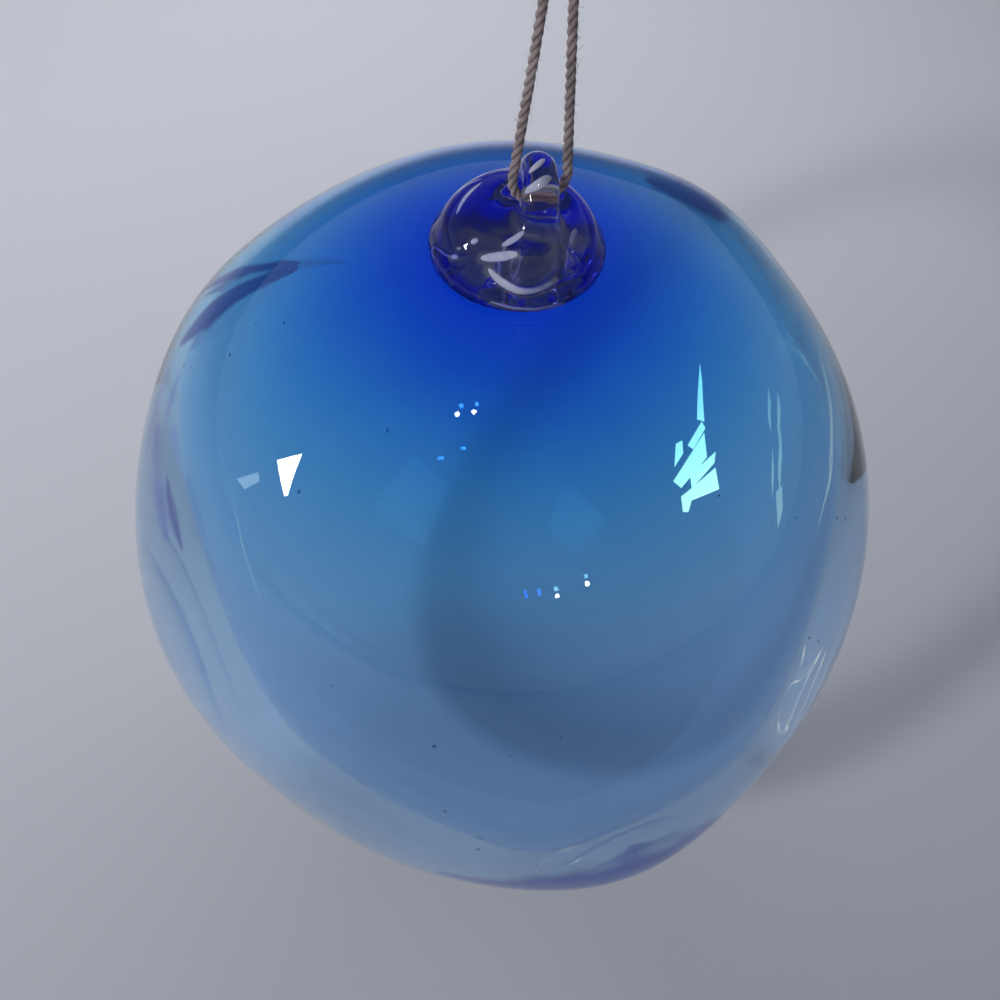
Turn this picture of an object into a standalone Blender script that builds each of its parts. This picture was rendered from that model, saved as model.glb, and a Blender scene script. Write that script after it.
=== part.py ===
"""A hand-blown glass ball ornament: the sealed ball, its hot-applied hanger and a twine loop.

Units are metres and +Z is up. The ball hangs from the top of its loop, so the origin is there,
between the two strands and under the knot. The front faces -Y.
"""

import math

import bmesh
import bpy
from mathutils import Matrix, Vector

# Ball
BALL_RADIUS = 0.045
# Each low swell (or flat, below zero) of the blown wall: azimuth and elevation of its middle in
# degrees, its height in metres and its spread in degrees.
BALL_SWELLS = {
    "bulge under the front": (-63.0, -23.5, 0.0020, 18.0),
    "flat at lower left": (-122.0, -22.0, -0.0014, 22.0),
    "flat at the right": (-24.0, -4.0, -0.0010, 45.0),
    "swell at the back right": (52.0, 45.0, 0.0013, 13.0),
    "swell at the back": (95.0, 51.0, 0.0006, 20.0),
    "swell at the back left": (164.0, 27.0, 0.0009, 17.0),
}
BALL_MERIDIANS = 48
BALL_RINGS = 28

# Hanger: a round gather of glass with a strap pulled over it that leaves an eye
EYE_DIAMETER = 0.0032
EYE_FLARE = 0.0012  # how far each side of the eye's channel leans out on its way up
EYE_HEIGHT = 0.0059  # middle of the eye above the top of the ball
EYE_TURN = 8.0  # degrees that the eye's axis turns from X towards the back
STRAP_DIAMETER = 0.0041
STRAP_ROOT = 0.0030  # how far the strap's legs run down into the gather
TAIL_LENGTH = 0.0078  # the strap's pressed-down end, which lies on the front of the gather
TAIL_WIDTH = 0.0058
TAIL_THICKNESS = 0.0048
TAIL_FALL = 39.0  # degrees that the tail slopes down towards the front
TAIL_SWING = -24.0  # degrees that it turns aside from straight forward, towards -X
GATHER_RADIUS = 0.0090
GATHER_HEIGHT = 0.0076
GATHER_SHIFT = -0.0016  # the gather sits this far along X from the eye
FOOT_RADIUS = 0.0095
FOOT_ROLL = 0.0034  # thickness of the rolled foot
FOOT_LIFT = 0.0008  # middle of the roll above the ball beneath it
SEAT_GAP = 0.0003
GLASS_GRAIN = 0.00068  # edge length of the hanger's mesh
GLASS_SOFTENING = 4

# Twine
TWINE_DIAMETER = 0.00105
TWINE_STEP = 0.0024
TWINE_SECTION_STEPS = 2
HANG_DROP = 0.0371  # from the top of the loop down to the middle of the eye
TWINE_TURN = 20.0  # degrees that the plane of the loop turns from X towards the back
# The twine's own way, in the plane of the loop: distance across it and height.
TWINE_ROUTE = (
    (-0.00062, -0.00030),
    (-0.00084, -0.00350),
    (-0.00112, -0.00760),
    (-0.00146, -0.01240),
    (-0.00178, -0.01760),
    (-0.00214, -0.02260),
    (-0.00249, -0.02760),
    (-0.00274, -0.03120),
    (-0.00288, -0.03345),
    (-0.00249, -0.03489),
    (-0.00144, -0.03594),
    (0.00000, -0.03633),
    (0.00144, -0.03594),
    (0.00249, -0.03489),
    (0.00288, -0.03345),
    (0.00272, -0.03120),
    (0.00247, -0.02740),
    (0.00215, -0.02240),
    (0.00181, -0.01740),
    (0.00148, -0.01240),
    (0.00113, -0.00760),
    (0.00085, -0.00350),
    (0.00062, -0.00030),
)
KNOT_RADIUS = 0.00165
KNOT_TURNS = 3
KNOT_TURN_HEIGHT = 0.00115
KNOT_SIDES = 18
# Each loose end leaves the knot at its root, bows out a little and leans away from the other.
END_ROOT = 0.00065
END_BOW = 0.00085
END_BOW_HEIGHT = 0.0028
END_LENGTH = 0.0085
END_SPREAD = 0.0030
END_ASIDE = 0.0010

SECTION_STEPS = 24


def clear_scene():
    for old in list(bpy.data.objects):
        bpy.data.objects.remove(old, do_unlink=True)


def new_collection(name, hidden=False):
    collection = bpy.data.collections.new(name)
    bpy.context.scene.collection.children.link(collection)
    collection.hide_render = hidden
    return collection


def plain_material(name, color, roughness=0.03):
    material = bpy.data.materials.new(name)
    material.use_nodes = True
    shader = material.node_tree.nodes["Principled BSDF"]
    shader.inputs["Base Color"].default_value = (*color, 1.0)
    shader.inputs["Roughness"].default_value = roughness
    shader.inputs["Metallic"].default_value = 0.0
    return material


def add_object(name, mesh, collection, material=None):
    made = bpy.data.objects.new(name, mesh)
    collection.objects.link(made)
    if material is not None:
        mesh.materials.append(material)
    return made


def as_cutter(cutter):
    cutter.hide_render = True
    cutter.display_type = "WIRE"
    return cutter


def shade_smooth(mesh):
    mesh.shade_smooth()
    mesh.set_sharp_from_angle(angle=math.radians(50.0))


def direction(azimuth, elevation):
    """The unit vector at an azimuth from +X towards +Y and an elevation above the level, in degrees."""
    around = math.radians(azimuth)
    up = math.radians(elevation)
    return Vector((math.cos(up) * math.cos(around), math.cos(up) * math.sin(around), math.sin(up)))


def ball_centre():
    return Vector((0.0, 0.0, -(HANG_DROP + EYE_HEIGHT + BALL_RADIUS)))


def ball_reach(towards):
    """How far the ball's skin lies from its centre, in a direction."""
    reach = BALL_RADIUS
    for azimuth, elevation, height, spread in BALL_SWELLS.values():
        away = towards.angle(direction(azimuth, elevation)) / math.radians(spread)
        reach += height * math.exp(-away * away)
    return reach


def ball_mesh(name, grow=0.0):
    """The blown ball, or a copy of it that is larger all round by grow."""
    shape = bmesh.new()
    bmesh.ops.create_uvsphere(shape, u_segments=BALL_MERIDIANS, v_segments=BALL_RINGS, radius=1.0)
    centre = ball_centre()
    for vertex in shape.verts:
        towards = vertex.co.normalized()
        vertex.co = centre + towards * (ball_reach(towards) + grow)
    mesh = bpy.data.meshes.new(name)
    shape.to_mesh(mesh)
    shape.free()
    return mesh


def ellipsoid_mesh(name, placed, sizes):
    """An ellipsoid with these full sizes along the axes of the matrix that places it."""
    shape = bmesh.new()
    bmesh.ops.create_uvsphere(shape, u_segments=SECTION_STEPS, v_segments=SECTION_STEPS // 2, radius=0.5)
    stretched = placed @ Matrix.Diagonal((*sizes, 1.0))
    bmesh.ops.transform(shape, matrix=stretched, verts=shape.verts)
    mesh = bpy.data.meshes.new(name)
    shape.to_mesh(mesh)
    shape.free()
    return mesh


def smooth_through(points, step):
    """Points about one step apart on a Catmull-Rom curve through the given ones."""
    knots = [points[0] * 2 - points[1], *points, points[-1] * 2 - points[-2]]
    found = []
    for before, start, end, after in zip(knots, knots[1:], knots[2:], knots[3:]):
        parts = max(1, round((end - start).length / step))
        for part in range(parts):
            t = part / parts
            found.append(
                0.5
                * (
                    start * 2
                    + (end - before) * t
                    + (before * 2 - start * 5 + end * 4 - after) * t**2
                    + (start * 3 - before - end * 3 + after) * t**3
                )
            )
    found.append(points[-1].copy())
    return found


def tube_curve(name, points, radius, bevel=3):
    """A curve object's data: a round tube with closed ends."""
    curve = bpy.data.curves.new(name, "CURVE")
    curve.dimensions = "3D"
    curve.bevel_depth = radius
    curve.bevel_resolution = bevel
    curve.use_fill_caps = True
    spline = curve.splines.new("POLY")
    spline.points.add(len(points) - 1)
    for at, point in zip(spline.points, points):
        at.co = (*point, 1.0)
    return curve


def tube_mesh(name, collection, points, radius, bevel=3):
    """The tube as a mesh with its caps welded on."""
    guide = add_object(name + "_guide", tube_curve(name, points, radius, bevel), collection)
    bpy.context.view_layer.update()
    graph = bpy.context.evaluated_depsgraph_get()
    mesh = bpy.data.meshes.new_from_object(guide.evaluated_get(graph))
    shape = bmesh.new()
    shape.from_mesh(mesh)
    bmesh.ops.remove_doubles(shape, verts=shape.verts, dist=radius / 100)
    shape.to_mesh(mesh)
    shape.free()
    bpy.data.objects.remove(guide, do_unlink=True)
    return mesh


def add_boolean(target, other, operation):
    modifier = target.modifiers.new(operation.lower() + " " + other.name, "BOOLEAN")
    modifier.object = other
    modifier.operation = operation
    modifier.solver = "EXACT"


def eye_frame():
    """The eye's own frame: X along its axis, Y towards the back, its middle at the origin."""
    return Matrix.Translation((0.0, 0.0, -HANG_DROP)) @ Matrix.Rotation(math.radians(EYE_TURN), 4, "Z")


def strap_reach():
    """The radius of the half ring that the strap's centre line makes round the eye."""
    return (EYE_DIAMETER + STRAP_DIAMETER) / 2


def strap_route():
    """The strap's centre line in the eye's frame: up at the back, over the eye and down in front."""
    reach = strap_reach()
    points = [Vector((0.0, reach, -STRAP_ROOT))]
    for step in range(SECTION_STEPS // 2 + 1):
        angle = math.pi * step / (SECTION_STEPS // 2)
        points.append(Vector((0.0, reach * math.cos(angle), reach * math.sin(angle))))
    points.append(Vector((0.0, -reach, -STRAP_ROOT)))
    return points


def tail_frame():
    """The tail's frame in the eye's: X along its length, from the strap's front leg down to the foot."""
    start = Vector((0.0, -strap_reach(), 0.0))
    turn = Matrix.Rotation(math.radians(TAIL_SWING - 90.0), 4, "Z")
    fall = Matrix.Rotation(math.radians(TAIL_FALL), 4, "Y")
    half = Matrix.Translation((TAIL_LENGTH / 2 - STRAP_DIAMETER / 4, 0.0, 0.0))
    return Matrix.Translation(start) @ turn @ fall @ half


def eye_route():
    """The middle of the eye's channel in the eye's frame: round under the strap and up on both sides."""
    reach = strap_reach()
    top = GATHER_HEIGHT + STRAP_DIAMETER
    points = [Vector((-reach - EYE_FLARE, 0.0, top))]
    for step in range(SECTION_STEPS // 2 + 1):
        angle = math.pi * (1.0 + step / (SECTION_STEPS // 2))
        points.append(Vector((reach * math.cos(angle), 0.0, reach + reach * math.sin(angle))))
    points.append(Vector((reach + EYE_FLARE, 0.0, top)))
    return points


def build_ball(parts):
    mesh = ball_mesh("glass_ball")
    ball = add_object("glass_ball", mesh, parts, plain_material("blue_ball_glass", (0.10, 0.30, 0.62)))
    shade_smooth(mesh)
    return ball


def build_hanger(parts, cutters):
    """The gather, its rolled foot and the strap run together, with the eye and the seat cut out."""
    top = ball_centre().z + BALL_RADIUS
    placed = eye_frame()

    gather_sizes = (2 * GATHER_RADIUS, 2 * GATHER_RADIUS, 2 * GATHER_HEIGHT)
    gather = ellipsoid_mesh("hanger_knob", Matrix.Translation((GATHER_SHIFT, 0.0, top)), gather_sizes)
    hanger = add_object("hanger_knob", gather, parts, plain_material("cobalt_hanger_glass", (0.03, 0.05, 0.30)))

    ring = FOOT_RADIUS - FOOT_ROLL / 2
    sag = BALL_RADIUS - math.sqrt(BALL_RADIUS**2 - ring**2)
    bpy.ops.mesh.primitive_torus_add(
        location=(GATHER_SHIFT, 0.0, top - sag + FOOT_LIFT),
        major_radius=ring,
        minor_radius=FOOT_ROLL / 2,
        major_segments=2 * SECTION_STEPS,
        minor_segments=SECTION_STEPS // 2,
    )
    foot = bpy.context.object
    foot.name = "foot_roll"
    bpy.context.collection.objects.unlink(foot)
    cutters.objects.link(as_cutter(foot))

    strap = tube_mesh("hanger_strap", cutters, [placed @ point for point in strap_route()], STRAP_DIAMETER / 2)
    strap = as_cutter(add_object("hanger_strap", strap, cutters))
    tail = ellipsoid_mesh("strap_tail", placed @ tail_frame(), (TAIL_LENGTH, TAIL_WIDTH, TAIL_THICKNESS))
    tail = as_cutter(add_object("strap_tail", tail, cutters))
    eye = tube_mesh("eye_cutter", cutters, [placed @ point for point in eye_route()], EYE_DIAMETER / 2)
    eye = as_cutter(add_object("eye_cutter", eye, cutters))
    seat = as_cutter(add_object("seat_cutter", ball_mesh("seat_cutter", SEAT_GAP), cutters))

    add_boolean(hanger, foot, "UNION")
    add_boolean(hanger, strap, "UNION")
    add_boolean(hanger, tail, "UNION")
    add_boolean(hanger, eye, "DIFFERENCE")
    grain = hanger.modifiers.new("glass grain", "REMESH")
    grain.mode = "VOXEL"
    grain.voxel_size = GLASS_GRAIN
    grain.use_smooth_shade = True
    soften = hanger.modifiers.new("fire polish", "SMOOTH")
    soften.factor = 0.5
    soften.iterations = GLASS_SOFTENING
    add_boolean(hanger, seat, "DIFFERENCE")
    return hanger


def build_twine(parts, material):
    turn = Matrix.Rotation(math.radians(TWINE_TURN), 4, "Z")
    route = [turn @ Vector((across, 0.0, height)) for across, height in TWINE_ROUTE]
    points = smooth_through(route, TWINE_STEP)
    curve = tube_curve("hanging_twine", points, TWINE_DIAMETER / 2, bevel=TWINE_SECTION_STEPS)
    return add_object("hanging_twine", curve, parts, material)


def build_knot(parts, cutters, material):
    """The wrapped knot on top of the loop, with the twine's two short ends above it."""
    profile = bmesh.new()
    height = KNOT_TURNS * KNOT_TURN_HEIGHT
    points = [(0.0, height)]
    steps = SECTION_STEPS // 4
    for turn in range(KNOT_TURNS):
        for step in range(steps + 1):
            angle = math.pi / 2 - math.pi * step / steps
            middle = height - (turn + 0.5) * KNOT_TURN_HEIGHT
            out = KNOT_RADIUS - KNOT_TURN_HEIGHT / 2 * (1.0 - math.cos(angle))
            point = (out, middle + KNOT_TURN_HEIGHT / 2 * math.sin(angle))
            if point[1] < points[-1][1] or step == 0 and turn == 0:
                points.append(point)
    points.append((0.0, 0.0))
    verts = [profile.verts.new((out, 0.0, up)) for out, up in points]
    for first, second in zip(verts, verts[1:]):
        profile.edges.new((first, second))
    mesh = bpy.data.meshes.new("cord_knot")
    profile.to_mesh(mesh)
    profile.free()
    knot = add_object("cord_knot", mesh, parts, material)
    screw = knot.modifiers.new("wraps", "SCREW")
    screw.steps = KNOT_SIDES
    screw.render_steps = KNOT_SIDES
    screw.use_merge_vertices = True
    screw.merge_threshold = 0.00001
    for side in (-1.0, 1.0):
        low = Vector((side * END_ROOT, 0.0, height / 2))
        middle = Vector((side * END_BOW, 0.0, height + END_BOW_HEIGHT))
        high = Vector((side * END_SPREAD, side * END_ASIDE, height + END_LENGTH))
        end = smooth_through([low, middle, high], TWINE_STEP / 2)
        name = "twine_end_left" if side < 0 else "twine_end_right"
        tail = tube_mesh(name, cutters, end, TWINE_DIAMETER / 2, bevel=TWINE_SECTION_STEPS)
        add_boolean(knot, as_cutter(add_object(name, tail, cutters)), "UNION")
    return knot


def main():
    clear_scene()
    parts = new_collection("glass_ball_ornament")
    cutters = new_collection("cutters", hidden=True)
    twine = plain_material("natural_twine", (0.23, 0.18, 0.15), roughness=0.9)
    build_ball(parts)
    build_hanger(parts, cutters)
    build_twine(parts, twine)
    build_knot(parts, cutters, twine)


main()
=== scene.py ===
# %% [markdown]
# # A hand-blown blue glass ball on a loop of twine
#
# This lesson dresses a plain solid model of a glass ornament. The solids say how large each piece is
# and where it hangs. Here each piece gets the things that make blown glass look blown: a wall of
# uneven thickness, a colour that gathers round the neck, fine seed bubbles, and a fuzzy twisted twine.
#
# Everything is in metres. The ball hangs from the top of its loop, which is the origin, +Z is up and
# the front faces -Y.

# %% Load the solids
import math

import bmesh
import bpy
from mathutils import Matrix, Vector
from mathutils.bvhtree import BVHTree


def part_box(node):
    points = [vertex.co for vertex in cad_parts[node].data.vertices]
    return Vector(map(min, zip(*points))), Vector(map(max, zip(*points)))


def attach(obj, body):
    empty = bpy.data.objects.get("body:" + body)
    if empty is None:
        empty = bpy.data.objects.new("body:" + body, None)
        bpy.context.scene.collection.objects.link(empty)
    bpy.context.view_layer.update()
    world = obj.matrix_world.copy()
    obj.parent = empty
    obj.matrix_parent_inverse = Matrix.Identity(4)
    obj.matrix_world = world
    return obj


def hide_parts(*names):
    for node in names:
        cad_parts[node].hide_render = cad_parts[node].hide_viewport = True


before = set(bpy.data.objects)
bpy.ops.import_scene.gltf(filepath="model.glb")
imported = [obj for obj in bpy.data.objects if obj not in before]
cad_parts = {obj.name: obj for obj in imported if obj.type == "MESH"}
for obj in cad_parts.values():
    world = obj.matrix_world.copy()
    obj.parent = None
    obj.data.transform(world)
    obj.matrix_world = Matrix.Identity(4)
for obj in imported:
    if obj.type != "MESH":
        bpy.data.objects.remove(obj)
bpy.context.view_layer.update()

scene = bpy.context.scene
for name in sorted(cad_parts):
    low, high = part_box(name)
    print(name, "is", [round(1000 * (b - a), 1) for a, b in zip(low, high)], "mm")

# %% [markdown]
# ## Small helpers for building node trees
#
# Geometry Nodes and shader trees are both made of nodes and links. These helpers add one node, feed its
# inputs with numbers or with links, and hand back the node or its output, so that a tree can be read
# from top to bottom. The last ones are short trees that come back in several places.


# %% Helpers for nodes and links
def feed(tree, socket, value):
    """Links another node's output to a socket, or sets a plain value on it."""
    if isinstance(value, bpy.types.NodeSocket):
        tree.links.new(value, socket)
    elif value is not None:
        socket.default_value = value


def feed_all(tree, node, **values):
    """Feeds inputs by name, where _ stands for a space, and hands the node back."""
    for label, value in values.items():
        feed(tree, node.inputs[label.replace("_", " ")], value)
    return node


def add_node(tree, kind, *inputs, **settings):
    """A node with its settings, and with its first inputs fed in order."""
    made = tree.nodes.new(kind)
    for key, value in settings.items():
        setattr(made, key, value)
    for slot, value in enumerate(inputs):
        feed(tree, made.inputs[slot], value)
    return made


def calculate(tree, operation, *inputs):
    """One number from one to three numbers."""
    return add_node(tree, "ShaderNodeMath", *inputs, operation=operation).outputs[0]


def on_vectors(tree, operation, *inputs):
    """A vector from vectors, or a number for a dot product or a length; a scale goes in last."""
    made = add_node(tree, "ShaderNodeVectorMath", operation=operation)
    for slot, value in enumerate(inputs):
        feed(tree, made.inputs["Scale"] if operation == "SCALE" and slot == 1 else made.inputs[slot], value)
    return made.outputs["Value"] if operation in ("DOT_PRODUCT", "LENGTH") else made.outputs["Vector"]


# %% Helpers for groups and grown meshes
def new_tree(name, kind, inputs, outputs):
    """An empty node group with named inputs (name, socket type, default) and outputs."""
    tree = bpy.data.node_groups.new(name, kind)
    for label, socket, default in inputs:
        made = tree.interface.new_socket(label, in_out="INPUT", socket_type="NodeSocket" + socket)
        if default is not None:
            made.default_value = default
    for label, socket in outputs:
        tree.interface.new_socket(label, in_out="OUTPUT", socket_type="NodeSocket" + socket)
    return tree, tree.nodes.new("NodeGroupInput").outputs, tree.nodes.new("NodeGroupOutput").inputs


def use_group(tree, group, **inputs):
    """A group placed in a tree of its own kind; its first output comes back."""
    made = add_node(tree, group.bl_idname.replace("Tree", "Group"), node_tree=group)
    return feed_all(tree, made, **inputs).outputs[0]


def grow(name, tree, values):
    """Runs a Geometry Nodes tree on an empty mesh and keeps the result as a plain mesh object."""
    carrier = bpy.data.objects.new(name, bpy.data.meshes.new(name + "_empty"))
    scene.collection.objects.link(carrier)
    modifier = carrier.modifiers.new("grow", "NODES")
    modifier.node_group = tree
    for item in tree.interface.items_tree:
        if item.item_type == "SOCKET" and item.in_out == "INPUT" and item.name in values:
            modifier[item.identifier] = values[item.name]
    bpy.context.view_layer.update()
    made = carrier.evaluated_get(bpy.context.evaluated_depsgraph_get())
    mesh = bpy.data.meshes.new_from_object(made)
    carrier.modifiers.remove(modifier)
    carrier.data = mesh
    mesh.name = name
    print(name, "has", len(mesh.polygons), "faces and", len(mesh.materials), "materials")
    return carrier


def keep_attribute(tree, geometry, name, value, kind="FLOAT", domain="POINT"):
    """Keeps a value on the geometry under a name, for later nodes or for a shader."""
    kept = add_node(tree, "GeometryNodeStoreNamedAttribute", data_type=kind, domain=domain)
    return feed_all(tree, kept, Geometry=geometry, Name=name, Value=value).outputs["Geometry"]


def join_parts(tree, parts):
    """Joins the parts, makes their instances real and shades them smooth."""
    both = add_node(tree, "GeometryNodeJoinGeometry")
    for part in parts:
        feed(tree, both.inputs[0], part)
    real = add_node(tree, "GeometryNodeRealizeInstances", both.outputs[0])
    return add_node(tree, "GeometryNodeSetShadeSmooth", real.outputs[0]).outputs[0]


# %% Helpers for noises, angles and colours
def noise(tree, place, scale, detail=2.0, **more):
    """A cloudy number round 0.5; without a place it reads the point's own position."""
    made = add_node(tree, "ShaderNodeTexNoise", noise_dimensions="3D")
    return feed_all(tree, made, Vector=place, Scale=scale, Detail=detail, **more).outputs[0]


def stray(tree, clouds, width):
    """A number that strays from zero by up to half the width."""
    return calculate(tree, "MULTIPLY", calculate(tree, "SUBTRACT", clouds, 0.5), width)


def angle_between(tree, towards, middle):
    """The angle between two directions in radians."""
    dot = on_vectors(tree, "DOT_PRODUCT", towards, middle)
    return calculate(tree, "ARCCOSINE", calculate(tree, "MINIMUM", dot, 1.0))


def falloff(tree, angle, spread):
    """exp(-(angle / spread) ** 2), which is 1 in the middle and next to nothing at twice the spread."""
    off = calculate(tree, "DIVIDE", angle, spread)
    square = calculate(tree, "MULTIPLY", off, off)
    return calculate(tree, "EXPONENT", calculate(tree, "MULTIPLY", square, -1.0))


def object_place(tree):
    return add_node(tree, "ShaderNodeTexCoord").outputs["Object"]


def colour_ramp(tree, factor, stops, interpolation="B_SPLINE"):
    ramp = tree.nodes.new("ShaderNodeValToRGB")
    ramp.color_ramp.interpolation = interpolation
    elements = ramp.color_ramp.elements
    elements.remove(elements[-1])
    for spot, (at, colour) in enumerate(stops):
        element = elements[0] if spot == 0 else elements.new(at)
        element.position = at
        element.color = (*colour, 1.0)
    feed(tree, ramp.inputs[0], factor)
    return ramp.outputs[0]


def mix_colour(tree, factor, first, second):
    """The first colour where the factor is 0 and the second where it is 1."""
    made = add_node(tree, "ShaderNodeMix", data_type="RGBA")
    for slot, value in (("Factor", factor), (6, first), (7, second)):
        feed(tree, made.inputs[slot], (*value, 1.0) if isinstance(value, tuple) else value)
    return made.outputs[2]


def new_material(name):
    """A material, its tree and its Principled shader."""
    made = bpy.data.materials.new(name)
    made.use_nodes = True
    return made, made.node_tree, made.node_tree.nodes["Principled BSDF"]


# %% [markdown]
# ## The camera
#
# The camera looks down at the ball from about 51 degrees, so the hanger sits on the upper half of the
# disc and the twine leans back towards the lens. A slight roll gives the lean of the two strands.

# %% Place the camera
BALL_RADIUS = 0.045
BALL_CENTRE = Vector((0.0, 0.0, -0.088))
LOOK_DOWN = math.radians(51.3)
ROLL = math.radians(5.9)
LENS_DISTANCE = 0.225

away = Vector((0.0, -math.cos(LOOK_DOWN), math.sin(LOOK_DOWN)))
level_right = Vector((1.0, 0.0, 0.0))
level_up = level_right.cross(-away)
lens_right = level_right * math.cos(ROLL) + level_up * math.sin(ROLL)
lens_up = level_up * math.cos(ROLL) - level_right * math.sin(ROLL)

camera_data = bpy.data.cameras.new("camera")
camera_data.sensor_width = 36.0
camera_data.lens = 65.27
camera_data.shift_x = -0.005
camera_data.shift_y = 0.015
camera_data.clip_start = 0.01
camera = bpy.data.objects.new("camera", camera_data)
scene.collection.objects.link(camera)
placed = Matrix((lens_right, lens_up, away)).transposed().to_4x4()
placed.translation = BALL_CENTRE + away * LENS_DISTANCE
camera.matrix_world = placed
scene.camera = camera
print("the lens is", round(1000 * LENS_DISTANCE), "mm from the ball's middle")

# %% [markdown]
# ## The twine's way
#
# The twine is one limp cord. It runs from the knot down to the hanger, through its eye and back up.
# A few listed points say where it goes, and a smooth curve is drawn through them. The same
# points drive the plain solid, so the twisted twine lies exactly where the solid lies.

# %% Draw the route of the loop
TWINE_DIAMETER = 0.00105
TWINE_TURN = 20.0
ROUTE_STEP = 0.0006
TWINE_ROUTE = (
    (-0.00062, -0.00030),
    (-0.00084, -0.00350),
    (-0.00112, -0.00760),
    (-0.00146, -0.01240),
    (-0.00178, -0.01760),
    (-0.00214, -0.02260),
    (-0.00249, -0.02760),
    (-0.00274, -0.03120),
    (-0.00288, -0.03345),
    (-0.00249, -0.03489),
    (-0.00144, -0.03594),
    (0.00000, -0.03633),
    (0.00144, -0.03594),
    (0.00249, -0.03489),
    (0.00288, -0.03345),
    (0.00272, -0.03120),
    (0.00247, -0.02740),
    (0.00215, -0.02240),
    (0.00181, -0.01740),
    (0.00148, -0.01240),
    (0.00113, -0.00760),
    (0.00085, -0.00350),
    (0.00062, -0.00030),
)


def smooth_through(points, step):
    """Points about one step apart on a Catmull-Rom curve through the given ones."""
    knots = [points[0] * 2 - points[1], *points, points[-1] * 2 - points[-2]]
    found = []
    for before, start, end, after in zip(knots, knots[1:], knots[2:], knots[3:]):
        parts = max(1, round((end - start).length / step))
        for part in range(parts):
            t = part / parts
            straight = start * 2 + (end - before) * t
            bend = (before * 2 - start * 5 + end * 4 - after) * t**2
            found.append((straight + bend + (start * 3 - before - end * 3 + after) * t**3) / 2)
    found.append(points[-1].copy())
    return found


def guide_curve(name, routes):
    """A curve without thickness that only guides a node tree; it is removed after use."""
    data = bpy.data.curves.new(name, "CURVE")
    data.dimensions = "3D"
    for route in routes:
        spline = data.splines.new("POLY")
        spline.points.add(len(route) - 1)
        for at, point in zip(spline.points, route):
            at.co = (*point, 1.0)
    made = bpy.data.objects.new(name, data)
    scene.collection.objects.link(made)
    return made


loop_turn = Matrix.Rotation(math.radians(TWINE_TURN), 4, "Z")
loop_points = [loop_turn @ Vector((across, 0.0, height)) for across, height in TWINE_ROUTE]
loop_route = smooth_through(loop_points, ROUTE_STEP)

# %% [markdown]
# ## Twisting the twine with Geometry Nodes
#
# Real twine is a few plies laid round each other, with loose fibres standing off. The tree copies the
# guide once for each ply, shifts every copy sideways by an angle that grows along the curve, and gives
# it a round section. Short bent fibres are then scattered over the plies. An attribute called crest
# keeps how far out each spot lies, so the shader can paint shade into the grooves between the plies.


# %% Lay the plies round each other
def lay_plies(tree, given):
    """The twisted plies as curves, and the direction in which each of their points was moved."""
    route = add_node(tree, "GeometryNodeObjectInfo", given["Route"]).outputs["Geometry"]
    even = add_node(tree, "GeometryNodeResampleCurve", route, mode="LENGTH")
    feed_all(tree, even, Length=given["Step"])
    plies = add_node(tree, "GeometryNodeDuplicateElements", domain="SPLINE")
    feed_all(tree, plies, Geometry=even.outputs["Curve"], Amount=given["Plies"])

    share = calculate(tree, "DIVIDE", plies.outputs["Duplicate Index"], given["Plies"])
    along = add_node(tree, "GeometryNodeSplineParameter").outputs["Length"]
    turns = calculate(tree, "MULTIPLY_ADD", along, given["Turns per metre"], share)
    angle = calculate(tree, "MULTIPLY", turns, math.tau)
    normal = add_node(tree, "GeometryNodeInputNormal").outputs[0]
    side = on_vectors(tree, "CROSS_PRODUCT", add_node(tree, "GeometryNodeInputTangent").outputs[0], normal)
    part_a = on_vectors(tree, "SCALE", normal, calculate(tree, "COSINE", angle))
    part_b = on_vectors(tree, "SCALE", side, calculate(tree, "SINE", angle))
    outward = on_vectors(tree, "ADD", part_a, part_b)

    marked = keep_attribute(tree, plies.outputs["Geometry"], "outward", outward, "FLOAT_VECTOR")
    kept = add_node(tree, "GeometryNodeInputNamedAttribute", "outward", data_type="FLOAT_VECTOR").outputs[0]
    laid = add_node(tree, "GeometryNodeSetPosition")
    feed_all(tree, laid, Geometry=marked, Offset=on_vectors(tree, "SCALE", kept, given["Lay radius"]))
    return laid.outputs["Geometry"], kept


# %% Give the plies their section
def round_plies(tree, given, curves, outward):
    """A slightly rough round section along each ply, with its crest kept for the shader."""
    section = add_node(tree, "GeometryNodeCurvePrimitiveCircle", 10)
    feed_all(tree, section, Radius=given["Ply radius"])
    solid = add_node(tree, "GeometryNodeCurveToMesh", curves, section.outputs["Curve"])
    feed_all(tree, solid, Fill_Caps=True)
    lumps = noise(tree, None, scale=1900.0, detail=3.0)
    facing = add_node(tree, "GeometryNodeInputNormal").outputs[0]
    moved = on_vectors(tree, "SCALE", facing, stray(tree, lumps, given["Roughening"]))
    rough = add_node(tree, "GeometryNodeSetPosition")
    feed_all(tree, rough, Geometry=solid.outputs["Mesh"], Offset=moved)
    crest = on_vectors(tree, "DOT_PRODUCT", facing, outward)
    return keep_attribute(tree, rough.outputs["Geometry"], "crest", crest)


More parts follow.
